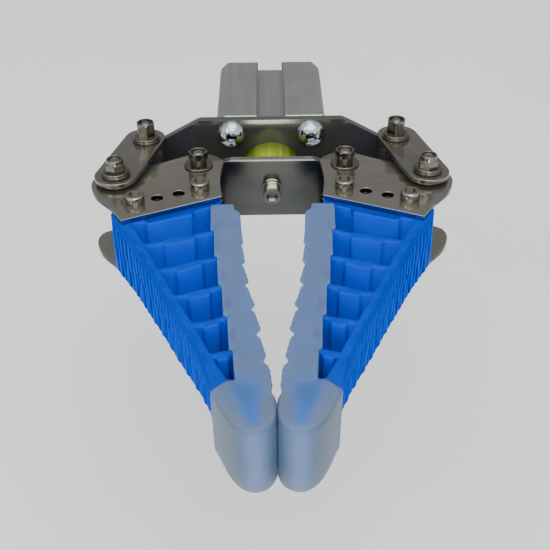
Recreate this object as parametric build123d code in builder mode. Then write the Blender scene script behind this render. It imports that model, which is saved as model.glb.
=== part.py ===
from build123d import *
import os

os.makedirs("parts", exist_ok=True)

# Two-finger adaptive soft gripper on a compact pneumatic cylinder.
# +X right, +Y towards the cylinder's rear mounting face, +Z up.
# The origin is the middle of the rear mounting face, on the cylinder's axis.
# The fingers point along -Y and turn about vertical pivots.

# ---------------------------------------------------------------- dimensions
# hardware
M5_R = 2.5
M5_AF_R = 8.0 / 2 / 0.8660254
M5_NUT_H = 5.8
CAP_HEAD_R = 4.25
CAP_HEAD_H = 4.2
WASHER_R = 6.6
WASHER_T = 1.0
STACK_T = 2.2                      # two washers under each link nut
INNER_NUT_H = 6.4
REAR_NUT_H = 7.1
HOLE_R = 2.65
SLEEVE_R = 4.0
SLEEVE_BORE_R = 2.55
BARREL_BORE_R = 4.05

# sheet thicknesses and heights
PLATE_T = 2.5                      # finger plates
FINGER_Z = 13.7                    # half height of the finger core
PLATE_TOP = FINGER_Z + PLATE_T     # 16.2
LINK_GAP = 1.3
LINK_T = 2.5
LINK_BOT = PLATE_TOP + LINK_GAP    # 17.5
LINK_TOP = LINK_BOT + LINK_T       # 20.0

# cylinder
BODY = 52.0                        # square section
BODY_L = 67.0
BORE_R = 20.0
BOLT_SQ = 38.0                     # square bolt pattern, front and rear
GROOVE_W = 12.5
GROOVE_D = 4.5
PORT_R = 2.1
ROD_R = 6.0

# rear bracket
BR_Y = -67.0                       # back face, on the cylinder's front face
BR_T = 4.0
BR_FRONT = BR_Y - BR_T             # -71

# crosshead
CH_BACK = -87.0
CH_T = 4.0
CH_FRONT = CH_BACK - CH_T          # -91

# pivots of the right finger (the left one is its mirror image)
P1 = (33.7, -98.0)                 # finger on crosshead
P2 = (69.9, -112.7)                # link on finger
P3 = (59.2, -78.5)                 # link on rear bracket
P1_BARREL_R = 7.0
P3_BARREL_R = 7.5
LINK_R = 9.6
LINK_ENDS = ((70.05, -112.5), (60.3, -75.6))   # centres of a link's round ends
OUTER_CLEAR_R = 3.2                # link hole round the outer pivot bolt

# clamp screws, 10 mm pitch row in the finger plates
S1 = (32.1, -119.85)
H2 = (41.35, -123.67)
H3 = (50.6, -127.48)
S4 = (59.85, -131.3)
CLAMP_SLEEVE_R = 3.6
PLATE_LOBE = [(70.5, -134.3), (74.5, -129.4), (77.7, -124.9), (80.0, -119.6), (81.2, -113.2), (79.4, -107.4),
              (74.9, -104.5)]      # outer edge of a finger plate, round the outer pivot

# finger core
OUTER_FACE = [(70.2, -136.5), (64.8, -147.0), (58.4, -159.0), (52.6, -172.0), (47.3, -184.0),
              (38.6, -205.0), (30.6, -224.0), (27.0, -234.0), (24.4, -244.0), (23.0, -254.3)]
INNER_FACE = [(17.0, -248.6), (23.3, -233.9), (30.3, -216.2), (38.3, -197.8),
              (45.9, -179.4), (53.6, -160.4), (60.6, -142.6)]
BLOCK_GROOVE = [(24.4, -126.6), (23.5, -128.6), (33.4, -133.4), (35.9, -136.3), (52.3, -143.7), (54.6, -142.2),
                (55.4, -140.5)]    # shadow groove in the base block, along the plates' front edge
BLOCK_GROOVE_D = 4.0
RIB_T = 2.3
RIBS = [((25.3, -150.8), (54.6, -160.8)), ((22.9, -170.6), (47.0, -180.0)),
        ((20.5, -191.1), (39.6, -198.3)), ((17.8, -211.3), (31.6, -216.6)),
        ((14.7, -231.8), (24.6, -234.9))]
RIB_KEY = 2.0                      # how far a rib's end is keyed into the skin
BLOCK_T = 4.3

# grip skin: the notched grip face and the stepped face towards the cells
SKIN_Z = 14.2
GRIP_FACE = [(16.9, -129.9), (16.7, -134.4), (14.9, -135.9), (14.0, -137.6), (13.3, -151.4), (12.2, -161.6),
             (13.7, -163.4), (12.5, -165.2), (11.3, -175.8), (12.9, -177.8), (11.7, -179.8), (9.7, -190.0),
             (11.4, -192.4), (9.9, -194.6), (7.6, -205.4), (9.4, -208.4), (7.9, -210.6), (5.6, -220.8),
             (7.5, -223.9), (5.8, -226.4), (3.8, -236.4), (5.5, -239.6), (4.0, -242.0), (2.0, -252.4),
             (3.1, -255.6), (1.7, -257.8), (0.35, -263.6)]
CELL_FACE = [(14.35, -248.9), (15.35, -234.0), (16.7, -232.6), (17.8, -213.6), (19.2, -212.2), (20.5, -193.2),
             (21.85, -191.8), (23.0, -172.6), (24.1, -171.2), (24.9, -152.8), (26.35, -151.4)]

# ---------------------------------------------------------- hardware patterns
with BuildPart() as nut_pattern:                      # nyloc nut, seat at z = 0
    with BuildSketch(Plane.XY):
        RegularPolygon(M5_AF_R, 6, rotation=30)
        Circle(M5_R, mode=Mode.SUBTRACT)
    extrude(amount=3.6)
    with BuildSketch(Plane.XY):
        Circle(M5_AF_R - 0.05)
    extrude(amount=3.6, mode=Mode.INTERSECT)
    with BuildSketch(Plane.XY.offset(3.6)):
        Circle(3.7)
        Circle(M5_R, mode=Mode.SUBTRACT)
    extrude(amount=M5_NUT_H - 3.6)
    fillet(nut_pattern.edges().filter_by(GeomType.CIRCLE).group_by(Axis.Z)[-1].sort_by(SortBy.RADIUS)[-1], 0.5)
    with BuildSketch(Plane.XY.offset(M5_NUT_H)):
        Circle(2.85)
        Circle(M5_R, mode=Mode.SUBTRACT)
    extrude(amount=-1.2, mode=Mode.SUBTRACT)

with BuildPart() as hex_top_nut_pattern:              # the same nut turned over: collar below, hexagon on top
    with BuildSketch(Plane.XY):
        Circle(3.75)
        Circle(M5_R, mode=Mode.SUBTRACT)
    extrude(amount=3.0)
    with BuildSketch(Plane.XY.offset(3.0)):
        RegularPolygon(M5_AF_R, 6, rotation=30)
        Circle(M5_R, mode=Mode.SUBTRACT)
    extrude(amount=INNER_NUT_H - 3.0)
    with BuildSketch(Plane.XY):
        Circle(M5_AF_R - 0.25)
    extrude(amount=INNER_NUT_H, mode=Mode.INTERSECT)
    with BuildSketch(Plane.XY.offset(INNER_NUT_H)):
        Circle(3.3)
        Circle(M5_R, mode=Mode.SUBTRACT)
    extrude(amount=-1.3, mode=Mode.SUBTRACT)

with BuildPart() as rear_nut_pattern:                 # tall nut with a well rounded top
    with BuildSketch(Plane.XY):
        RegularPolygon(M5_AF_R, 6, rotation=22)
        Circle(M5_R, mode=Mode.SUBTRACT)
    extrude(amount=REAR_NUT_H)
    Cylinder(M5_AF_R - 0.15, REAR_NUT_H, align=(Align.CENTER, Align.CENTER, Align.MIN), mode=Mode.INTERSECT)
    with Locations((0, 0, 1.6)):
        Sphere(6.7, mode=Mode.INTERSECT)
    with BuildSketch(Plane.XY.offset(REAR_NUT_H)):
        Circle(3.25)
        Circle(M5_R, mode=Mode.SUBTRACT)
    extrude(amount=-1.4, mode=Mode.SUBTRACT)

with BuildPart() as washer_pattern:                   # seat at z = 0
    with BuildSketch(Plane.XY):
        Circle(WASHER_R)
        Circle(M5_R + 0.1, mode=Mode.SUBTRACT)
    extrude(amount=WASHER_T)
    chamfer(washer_pattern.edges().filter_by(GeomType.CIRCLE).group_by(Axis.Z)[-1].sort_by(SortBy.RADIUS)[-1], 0.25)

with BuildPart() as stack_pattern:                     # a wide washer with a slightly smaller one on it
    with BuildSketch(Plane.XY):
        Circle(WASHER_R)
        Circle(M5_R + 0.1, mode=Mode.SUBTRACT)
    extrude(amount=STACK_T / 2)
    with BuildSketch(Plane.XY.offset(STACK_T / 2)):
        Circle(WASHER_R - 0.7)
        Circle(M5_R + 0.1, mode=Mode.SUBTRACT)
    extrude(amount=STACK_T / 2)
    chamfer(stack_pattern.edges().filter_by(GeomType.CIRCLE).filter_by(
        lambda e: e.radius > WASHER_R - 0.8 and e.center().Z > STACK_T / 2 - 0.01).sort_by(Axis.Z)[-1], 0.25)

with BuildPart() as thrust_washer_pattern:            # 1.2 mm, fills the gap under a link
    with BuildSketch(Plane.XY):
        Circle(WASHER_R)
        Circle(M5_R + 0.1, mode=Mode.SUBTRACT)
    extrude(amount=LINK_GAP - 0.1)

with BuildPart() as sleeve_washer_pattern:            # 1.2 mm, round a pivot sleeve
    with BuildSketch(Plane.XY):
        Circle(WASHER_R)
        Circle(SLEEVE_R + 0.1, mode=Mode.SUBTRACT)
    extrude(amount=LINK_GAP - 0.1)

with BuildPart() as hex_head_pattern:                 # bolt head hanging below z = 0
    with BuildSketch(Plane.XY):
        RegularPolygon(M5_AF_R, 6)
    extrude(amount=-3.5)
    with BuildSketch(Plane.XY):
        Circle(M5_AF_R - 0.05)
    extrude(amount=-3.5, mode=Mode.INTERSECT)

with BuildPart() as socket_head_pattern:              # cap head standing on z = 0
    with BuildSketch(Plane.XY):
        Circle(CAP_HEAD_R)
    extrude(amount=CAP_HEAD_H)
    chamfer(socket_head_pattern.edges().group_by(Axis.Z)[-1], 0.55)
    with BuildSketch(Plane.XY.offset(CAP_HEAD_H)):
        RegularPolygon(2.7, 6)
    extrude(amount=-2.8, mode=Mode.SUBTRACT)

with BuildPart() as dome_bolt_pattern:                # round head standing on z = 0, shank below
    Cylinder(6.3, 5.4, align=(Align.CENTER, Align.CENTER, Align.MIN))
    with Locations((0, 0, -1.1)):
        Sphere(6.5, mode=Mode.INTERSECT)
    with BuildSketch(Plane.XY.offset(5.4)):
        RegularPolygon(2.5, 6)
    extrude(amount=-2.0, mode=Mode.SUBTRACT)
    with BuildSketch(Plane.XY.offset(3.4)):
        RegularPolygon(1.15, 6)
    extrude(amount=0.8)
    with BuildSketch(Plane.XY.offset(0.5)):
        Circle(3.0)
    extrude(amount=-18.5)

# ------------------------------------------------------------------- cylinder
with BuildPart() as cylinder_body:
    with BuildSketch(Plane.XZ):
        RectangleRounded(BODY, BODY, 1.2)
    extrude(amount=BODY_L)
    # rear outer corners cut back at a slant
    with BuildSketch(Plane.XY.offset(-BODY / 2)):
        for sx in (1, -1):
            with BuildLine():
                Polyline((sx * 22.2, 0.1), (sx * 26.1, -9.8), (sx * 27, -9.8), (sx * 27, 0.1), close=True)
            make_face()
    extrude(amount=BODY, mode=Mode.SUBTRACT)
    # wide groove along the top and the underside
    with BuildSketch(Plane.XZ):
        with Locations((0, BODY / 2 - GROOVE_D / 2), (0, -BODY / 2 + GROOVE_D / 2)):
            Rectangle(GROOVE_W, GROOVE_D)
    extrude(amount=BODY_L, mode=Mode.SUBTRACT)
    # sensor slots along both sides
    with BuildSketch(Plane.XZ):
        for sx in (1, -1):
            for sz in (1, -1):
                with Locations((sx * (BODY / 2 - 1.5), sz * 9.0)):
                    Rectangle(3.0, 3.2)
    extrude(amount=BODY_L, mode=Mode.SUBTRACT)
    # bore
    with BuildSketch(Plane.XZ):
        Circle(BORE_R)
    extrude(amount=BODY_L, mode=Mode.SUBTRACT)
    # circlip grooves at both ends
    for gy in (1.6, BODY_L - 2.6):
        with BuildSketch(Plane.XZ.offset(gy)):
            Circle(BORE_R + 1.0)
        extrude(amount=1.0, mode=Mode.SUBTRACT)
    # threaded corner holes, rear and front
    with BuildSketch(Plane.XZ):
        with GridLocations(BOLT_SQ, BOLT_SQ, 2, 2):
            Circle(2.5)
    extrude(amount=16.0, mode=Mode.SUBTRACT)
    with BuildSketch(Plane.XZ.offset(BODY_L)):
        with GridLocations(BOLT_SQ, BOLT_SQ, 2, 2):
            Circle(3.0)
    extrude(amount=-16.0, mode=Mode.SUBTRACT)
    # air ports in the right side, between the sensor slots
    with BuildSketch(Plane.YZ.offset(BODY / 2 + 1)):
        with Locations((-12.5, 0), (-52.0, 0)):
            Circle(PORT_R)
    extrude(amount=-8.0, mode=Mode.SUBTRACT)
    chamfer(cylinder_body.edges().filter_by(Axis.Y).filter_by_position(Axis.Z, BODY / 2 - 0.05, BODY / 2 + 0.05)
            .filter_by_position(Axis.X, -7, 7), 0.4)

with BuildPart() as rear_cap:
    with BuildSketch(Plane.XZ.offset(2.7)):
        Circle(BORE_R - 0.05)
    extrude(amount=6.3)
    with BuildSketch(Plane.XZ.offset(9.0)):
        Circle(14.0)
    extrude(amount=5.0)

with BuildPart() as front_head:
    with BuildSketch(Plane.XZ.offset(BODY_L - 2.7)):
        Circle(BORE_R - 0.05)
        Circle(8.0, mode=Mode.SUBTRACT)
    extrude(amount=-9.3)
    with BuildSketch(Plane.XZ.offset(BODY_L - 2.7)):
        Circle(9.5)
    extrude(amount=-2.0, mode=Mode.SUBTRACT)

with BuildPart() as cap_circlips:
    for gy in (1.6, BODY_L - 2.6):
        with BuildSketch(Plane.XZ.offset(gy + 0.05)):
            Circle(BORE_R + 0.9)
            Circle(BORE_R - 2.0, mode=Mode.SUBTRACT)
            with Locations((0, -BORE_R)):
                Rectangle(9.0, 8.0, mode=Mode.SUBTRACT)
        extrude(amount=0.9)

with BuildPart() as rod_bush:
    with BuildSketch(Plane.XZ.offset(BODY_L - 12.0)):
        Circle(8.0)
        Circle(ROD_R + 0.05, mode=Mode.SUBTRACT)
    extrude(amount=7.2)

with BuildPart() as rod_wiper:
    with BuildSketch(Plane.XZ.offset(BODY_L - 4.6)):
        Circle(9.4)
        Circle(ROD_R + 0.3, mode=Mode.SUBTRACT)
    extrude(amount=4.5)

# --------------------------------------------------------------- rear bracket
with BuildPart() as rear_bracket:
    with BuildSketch(Plane.XZ.offset(-BR_Y)):
        with BuildLine():
            Polyline((-34.5, 26.0), (34.5, 26.0), (52.6, 16.0), (63.5, 15.4), (63.5, -15.4), (52.6, -16.0),
                     (34.5, -26.0), (-34.5, -26.0), (-52.6, -16.0), (-63.5, -15.4), (-63.5, 15.4),
                     (-52.6, 16.0), close=True)
        make_face()
        fillet(vertices().filter_by_position(Axis.X, -35, 35), 5.0)
        Circle(7.2, mode=Mode.SUBTRACT)
        with GridLocations(BOLT_SQ, BOLT_SQ, 2, 2):
            Circle(3.2, mode=Mode.SUBTRACT)
    extrude(amount=BR_T)
    # pivot barrels welded to the front of both ends
    with BuildSketch(Plane.XY.offset(-PLATE_TOP)):
        for sx in (1, -1):
            with Locations((sx * P3[0], P3[1])):
                Circle(P3_BARREL_R)
            with Locations((sx * P3[0], (BR_FRONT + P3[1]) / 2 + 0.2)):
                Rectangle(9.0, abs(P3[1] - BR_FRONT) + 0.4)
    extrude(amount=2 * PLATE_TOP)
    with BuildSketch(Plane.XY.offset(-PLATE_TOP - 1)):
        with Locations((P3[0], P3[1]), (-P3[0], P3[1])):
            Circle(BARREL_BORE_R)
    extrude(amount=2 * PLATE_TOP + 2, mode=Mode.SUBTRACT)

with BuildPart() as bracket_bolts:
    with Locations(*[Location((sx * BOLT_SQ / 2, BR_FRONT, sz * BOLT_SQ / 2), (90, 0, 0))
                     for sx in (1, -1) for sz in (1, -1)]):
        add(dome_bolt_pattern.part)

with BuildPart() as rod_bumper:
    with BuildSketch(Plane.XZ.offset(-BR_FRONT)):
        Circle(14.2)
        Circle(ROD_R + 0.4, mode=Mode.SUBTRACT)
    extrude(amount=abs(CH_BACK - BR_FRONT) - 0.3)
    fillet(rod_bumper.edges().filter_by(GeomType.CIRCLE).group_by(Axis.Y)[0].sort_by(SortBy.RADIUS)[-1], 1.2)

# ------------------------------------------------------- crosshead and piston
with BuildPart() as crosshead:
    with BuildSketch(Plane.XZ.offset(-CH_BACK)):
        with BuildLine():
            Polyline((-19.2, 15.0), (19.2, 15.0), (23.3, 13.4), (38.0, 13.4), (38.0, -13.4), (23.3, -13.4),
                     (19.2, -15.0), (-19.2, -15.0), (-23.3, -13.4), (-38.0, -13.4), (-38.0, 13.4),
                     (-23.3, 13.4), close=True)
        make_face()
        Circle(M5_R + 0.05, mode=Mode.SUBTRACT)
    extrude(amount=CH_T)
    with BuildSketch(Plane.XY.offset(-13.4)):
        for sx in (1, -1):
            with Locations((sx * P1[0], P1[1])):
                Circle(P1_BARREL_R)
            with Locations((sx * P1[0], (CH_FRONT + P1[1]) / 2 + 0.2)):
                Rectangle(8.4, abs(P1[1] - CH_FRONT) + 0.4)
    extrude(amount=26.8)
    with BuildSketch(Plane.XY.offset(-14)):
        with Locations((P1[0], P1[1]), (-P1[0], P1[1])):
            Circle(BARREL_BORE_R)
    extrude(amount=28, mode=Mode.SUBTRACT)
    fillet(crosshead.edges().filter_by(Axis.X).filter_by_position(Axis.Z, 14.9, 15.1), 0.8)

with BuildPart() as crosshead_washer:                  # flat washer with a lock washer on it
    with BuildSketch(Plane.XZ.offset(-CH_FRONT)):
        Circle(5.0)
        Circle(M5_R + 0.1, mode=Mode.SUBTRACT)
    extrude(amount=1.4)
    with BuildSketch(Plane.XZ.offset(-CH_FRONT + 1.4)):
        Circle(4.3)
        Circle(M5_R + 0.1, mode=Mode.SUBTRACT)
    extrude(amount=1.6)

with BuildPart() as crosshead_screw:
    with BuildSketch(Plane.XZ.offset(-CH_FRONT + 3.0)):
        Circle(CAP_HEAD_R - 0.1)
    extrude(amount=5.2)
    chamfer(crosshead_screw.edges().group_by(Axis.Y)[0], 0.5)
    with BuildSketch(Plane.XZ.offset(-CH_FRONT + 8.2)):
        RegularPolygon(2.9, 6)
    extrude(amount=-2.8, mode=Mode.SUBTRACT)
    with BuildSketch(Plane.XZ.offset(-CH_FRONT + 3.0)):
        Circle(M5_R)
    extrude(amount=-20.0)

with BuildPart() as piston_rod:
    with BuildSketch(Plane.XZ.offset(-CH_BACK)):
        Circle(ROD_R)
    extrude(amount=CH_BACK + 30.5)
    with BuildSketch(Plane.XZ.offset(-CH_BACK)):
        Circle(M5_R + 0.02)
    extrude(amount=-18.0, mode=Mode.SUBTRACT)

with BuildPart() as piston:
    with BuildSketch(Plane.XZ.offset(42.5)):
        Circle(BORE_R - 0.3)
        Circle(ROD_R + 0.02, mode=Mode.SUBTRACT)
    extrude(amount=-12.0)
    with BuildSketch(Plane.XZ.offset(38.3)):
        Circle(BORE_R)
        Circle(BORE_R - 3.0, mode=Mode.SUBTRACT)
    extrude(amount=-3.6, mode=Mode.SUBTRACT)

with BuildPart() as piston_seal:
    with BuildSketch(Plane.XZ.offset(38.2)):
        Circle(BORE_R - 0.1)
        Circle(BORE_R - 2.9, mode=Mode.SUBTRACT)
    extrude(amount=-3.4)

# ---------------------------------------------------------------- right finger
with BuildPart() as finger_plate:                      # flat at z = 0, PLATE_T thick
    with BuildSketch(Plane.XY):
        with BuildLine():
            l1 = Line((21.9, -127.2), (64.1, -146.2))
            l2 = Line((64.1, -146.2), PLATE_LOBE[0])
            a1 = Spline(*PLATE_LOBE, tangents=((0.47, 0.88), (-0.93, 0.36)))
            a2 = ThreePointArc((74.9, -104.5), (56.0, -97.0), (40.6, -88.2))
            a3 = ThreePointArc((40.6, -88.2), (33.2, -86.0), (25.8, -88.9))
            a4 = ThreePointArc((25.8, -88.9), (23.4, -92.0), (22.3, -94.8))
            a5 = ThreePointArc((22.3, -94.8), (23.4, -111.5), (21.9, -127.2))
        make_face()
        fillet(vertices().sort_by(Axis.Y)[0], 1.5)
        with Locations(P1, P2):
            Circle(M5_R + 0.1, mode=Mode.SUBTRACT)
        with Locations(S1, H2, H3, S4):
            Circle(HOLE_R, mode=Mode.SUBTRACT)
    extrude(amount=PLATE_T)

with BuildPart() as finger_plate_top_right:
    with Locations(Location((0, 0, FINGER_Z))):
        add(finger_plate.part)

with BuildPart() as finger_plate_bottom_right:
    with Locations(Location((0, 0, -FINGER_Z - PLATE_T))):
        add(finger_plate.part)


def rib_outline(a, b):
    """Thin flexures at both ends and a thicker block in the middle, forward of the line a-b."""
    ax, ay = a
    bx, by = b
    n = ((bx - ax) ** 2 + (by - ay) ** 2) ** 0.5
    ux, uy = (bx - ax) / n, (by - ay) / n
    vx, vy = uy, -ux                                   # forward, towards the fingertip

    def at(s, d):
        return (ax + ux * s * n + vx * d, ay + uy * s * n + vy * d)

    k = RIB_KEY / n
    r = 0.6 / n
    return [at(-k, 0), at(1.06, 0), at(1.06, RIB_T), at(0.715, RIB_T), at(0.71, BLOCK_T - 0.6), at(0.71 - r, BLOCK_T),
            at(0.28 + r, BLOCK_T), at(0.28, BLOCK_T - 0.6), at(0.275, RIB_T), at(-k, RIB_T)]


with BuildPart() as finger_core_right:
    with BuildSketch(Plane.XY.offset(-FINGER_Z)):
        # outer wall
        with BuildLine():
            Spline(*OUTER_FACE)
            Line(OUTER_FACE[-1], INNER_FACE[0])
            Spline(*INNER_FACE)
            Line(INNER_FACE[-1], OUTER_FACE[0])
        make_face()
        # base block, clamped between the plates
        with BuildLine():
            Polyline((23.2, -112.4), (62.5, -120.6), (66.6, -124.0), (70.2, -136.5), (66.5, -143.7), (60.6, -144.6),
                     (54.6, -142.7), (53.8, -145.2), (34.6, -137.6), (35.4, -135.1), (27.6, -131.9),
                     (22.6, -129.6), close=True)
        make_face()
        # ribs
        for a, b in RIBS:
            with BuildLine():
                Polyline(*rib_outline(a, b), close=True)
            make_face()
        # tip block and the tongue inside the skin
        with BuildLine():
            Polyline((23.0, -254.3), (17.0, -248.6), (14.3, -248.9), (4.6, -250.2), (7.4, -267.4),
                     (11.0, -268.2), (17.6, -252.0), close=True)
        make_face()
        with Locations(S1, H2, H3, S4):
            Circle(CLAMP_SLEEVE_R, mode=Mode.SUBTRACT)
    extrude(amount=2 * FINGER_Z)
    for sz in (1, -1):
        with BuildSketch(Plane.XY.offset(sz * FINGER_Z)):
            with BuildLine():
                Polyline(*BLOCK_GROOVE, close=True)
            make_face()
        extrude(amount=-sz * BLOCK_GROOVE_D, mode=Mode.SUBTRACT)

with BuildPart() as clamp_sleeves_right:               # keep the plates apart round each screw hole
    with BuildSketch(Plane.XY.offset(-FINGER_Z)):
        with Locations(S1, H2, H3, S4):
            Circle(CLAMP_SLEEVE_R)
            Circle(HOLE_R, mode=Mode.SUBTRACT)
    extrude(amount=2 * FINGER_Z)

with BuildPart() as finger_skin_right:
    with BuildSketch(Plane.XY.offset(-SKIN_Z)):
        with BuildLine():
            Polyline((27.2, -129.9), *GRIP_FACE, (0.35, -267.2))
            Spline((0.35, -267.2), (1.7, -271.5), (4.4, -274.5), (8.4, -275.6), (12.2, -274.3), (15.6, -270.6),
                   (19.4, -263.2), (22.9, -255.0))
            Polyline((22.9, -255.0), (23.0, -254.3), (17.0, -248.6), *CELL_FACE, (27.2, -129.9))
        make_face()
    extrude(amount=2 * SKIN_Z)
    add(finger_core_right.part, mode=Mode.SUBTRACT)
    fillet(finger_skin_right.edges().filter_by(Axis.Z).filter_by_position(Axis.X, 16.85, 16.95), 0.6)

with BuildPart() as finger_screws_right:
    with Locations((*S1, PLATE_TOP), (*S4, PLATE_TOP)):
        add(socket_head_pattern.part)
    with BuildSketch(Plane.XY.offset(PLATE_TOP)):
        with Locations(S1, S4):
            Circle(M5_R)
    extrude(amount=-2 * PLATE_TOP - 6.0)

with BuildPart() as finger_screw_nuts_right:
    with Locations(Location((*S1, -PLATE_TOP), (180, 0, 0)), Location((*S4, -PLATE_TOP), (180, 0, 0))):
        add(nut_pattern.part)

# inner pivot: the bolt clamps both plates on a sleeve that turns in the crosshead's barrel
with BuildPart() as inner_pivot_sleeve_right:
    with BuildSketch(Plane.XY.offset(-FINGER_Z)):
        with Locations(P1):
            Circle(SLEEVE_R)
            Circle(SLEEVE_BORE_R, mode=Mode.SUBTRACT)
    extrude(amount=2 * FINGER_Z)

with BuildPart() as inner_pivot_bolt_right:
    with Locations((*P1, -PLATE_TOP - WASHER_T)):
        add(hex_head_pattern.part)
    with BuildSketch(Plane.XY.offset(-PLATE_TOP - WASHER_T)):
        with Locations(P1):
            Circle(M5_R)
    extrude(amount=2 * PLATE_TOP + 2 * WASHER_T + INNER_NUT_H - 0.3)
    chamfer(inner_pivot_bolt_right.edges().group_by(Axis.Z)[-1], 0.6)

with BuildPart() as inner_pivot_nut_right:
    with Locations((*P1, PLATE_TOP + WASHER_T)):
        add(hex_top_nut_pattern.part)

with BuildPart() as inner_pivot_washers_right:
    with Locations((*P1, PLATE_TOP), (*P1, -PLATE_TOP - WASHER_T)):
        add(washer_pattern.part)

# outer pivot: the bolt and spacer belong to the finger, the links turn round the bolt
with BuildPart() as outer_pivot_spacer_right:
    with BuildSketch(Plane.XY.offset(-FINGER_Z)):
        with Locations(P2):
            Circle(3.3)
            Circle(SLEEVE_BORE_R, mode=Mode.SUBTRACT)
    extrude(amount=2 * FINGER_Z)

with BuildPart() as outer_pivot_bolt_right:
    with Locations((*P2, -LINK_TOP - 0.1 - WASHER_T)):
        add(hex_head_pattern.part)
    with BuildSketch(Plane.XY.offset(-LINK_TOP - 0.1 - WASHER_T)):
        with Locations(P2):
            Circle(M5_R)
    extrude(amount=2 * (LINK_TOP + 0.1) + WASHER_T + STACK_T + M5_NUT_H - 0.8)
    chamfer(outer_pivot_bolt_right.edges().group_by(Axis.Z)[-1], 0.5)

with BuildPart() as outer_pivot_nut_right:
    with Locations((*P2, LINK_TOP + 0.1 + STACK_T)):
        add(nut_pattern.part)

with BuildPart() as outer_pivot_washers_right:
    with Locations((*P2, LINK_TOP + 0.1)):
        add(stack_pattern.part)
    with Locations((*P2, -LINK_TOP - 0.1 - WASHER_T)):
        add(washer_pattern.part)
    with Locations((*P2, PLATE_TOP), (*P2, -PLATE_TOP - LINK_GAP + 0.1)):
        add(thrust_washer_pattern.part)

# ------------------------------------------------------------------ right link
with BuildPart() as link_plate:                        # flat at z = 0, LINK_T thick
    with BuildSketch(Plane.XY):
        make_hull([*Edge.make_circle(LINK_R).moved(Location((*LINK_ENDS[0], 0))).edges(),
                   *Edge.make_circle(LINK_R).moved(Location((*LINK_ENDS[1], 0))).edges()])
        with Locations(P2):
            Circle(OUTER_CLEAR_R, mode=Mode.SUBTRACT)
        with Locations(P3):
            Circle(M5_R + 0.1, mode=Mode.SUBTRACT)
    extrude(amount=LINK_T)

with BuildPart() as link_top_right:
    with Locations(Location((0, 0, LINK_BOT))):
        add(link_plate.part)

with BuildPart() as link_bottom_right:
    with Locations(Location((0, 0, -LINK_TOP))):
        add(link_plate.part)

with BuildPart() as rear_pivot_sleeve_right:
    with BuildSketch(Plane.XY.offset(-LINK_BOT)):
        with Locations(P3):
            Circle(SLEEVE_R)
            Circle(SLEEVE_BORE_R, mode=Mode.SUBTRACT)
    extrude(amount=2 * LINK_BOT)

with BuildPart() as rear_pivot_bolt_right:
    with Locations((*P3, -LINK_TOP - WASHER_T)):
        add(hex_head_pattern.part)
    with BuildSketch(Plane.XY.offset(-LINK_TOP - WASHER_T)):
        with Locations(P3):
            Circle(M5_R)
    extrude(amount=2 * LINK_TOP + WASHER_T + STACK_T + REAR_NUT_H - 0.3)
    chamfer(rear_pivot_bolt_right.edges().group_by(Axis.Z)[-1], 0.9)

with BuildPart() as rear_pivot_nut_right:
    with Locations((*P3, LINK_TOP + STACK_T)):
        add(rear_nut_pattern.part)

with BuildPart() as rear_pivot_washers_right:
    with Locations((*P3, LINK_TOP)):
        add(stack_pattern.part)
    with Locations((*P3, -LINK_TOP - WASHER_T)):
        add(washer_pattern.part)
    with Locations((*P3, LINK_BOT - LINK_GAP + 0.1), (*P3, -LINK_BOT)):
        add(sleeve_washer_pattern.part)

# ---------------------------------------------------------- labels and export
single_pieces = {
    "cylinder_body": cylinder_body, "rear_cap": rear_cap, "front_head": front_head, "cap_circlips": cap_circlips,
    "rod_bush": rod_bush, "rod_wiper": rod_wiper, "rear_bracket": rear_bracket, "bracket_bolts": bracket_bolts,
    "rod_bumper": rod_bumper, "crosshead": crosshead, "crosshead_washer": crosshead_washer,
    "crosshead_screw": crosshead_screw, "piston_rod": piston_rod, "piston": piston, "piston_seal": piston_seal,
}
for label, piece in single_pieces.items():
    piece.part.label = label
    export_step(piece.part, f"parts/{label}.step")

right_pieces = {
    "finger_plate_top": finger_plate_top_right, "finger_plate_bottom": finger_plate_bottom_right,
    "finger_core": finger_core_right, "clamp_sleeves": clamp_sleeves_right, "finger_skin": finger_skin_right,
    "finger_screws": finger_screws_right, "finger_screw_nuts": finger_screw_nuts_right,
    "inner_pivot_sleeve": inner_pivot_sleeve_right,
    "inner_pivot_bolt": inner_pivot_bolt_right, "inner_pivot_nut": inner_pivot_nut_right,
    "inner_pivot_washers": inner_pivot_washers_right, "outer_pivot_spacer": outer_pivot_spacer_right,
    "outer_pivot_bolt": outer_pivot_bolt_right, "outer_pivot_nut": outer_pivot_nut_right,
    "outer_pivot_washers": outer_pivot_washers_right, "link_top": link_top_right, "link_bottom": link_bottom_right,
    "rear_pivot_sleeve": rear_pivot_sleeve_right, "rear_pivot_bolt": rear_pivot_bolt_right,
    "rear_pivot_nut": rear_pivot_nut_right, "rear_pivot_washers": rear_pivot_washers_right,
}
for label, piece in right_pieces.items():
    piece.part.label = f"{label}_right"
    export_step(piece.part, f"parts/{label}_right.step")
    with BuildPart() as left_piece:
        mirror(piece.part, about=Plane.YZ)
    left_piece.part.label = f"{label}_left"
    export_step(left_piece.part, f"parts/{label}_left.step")
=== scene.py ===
import math

import bmesh
import bpy
import numpy as np
from mathutils import Matrix, Vector


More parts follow.
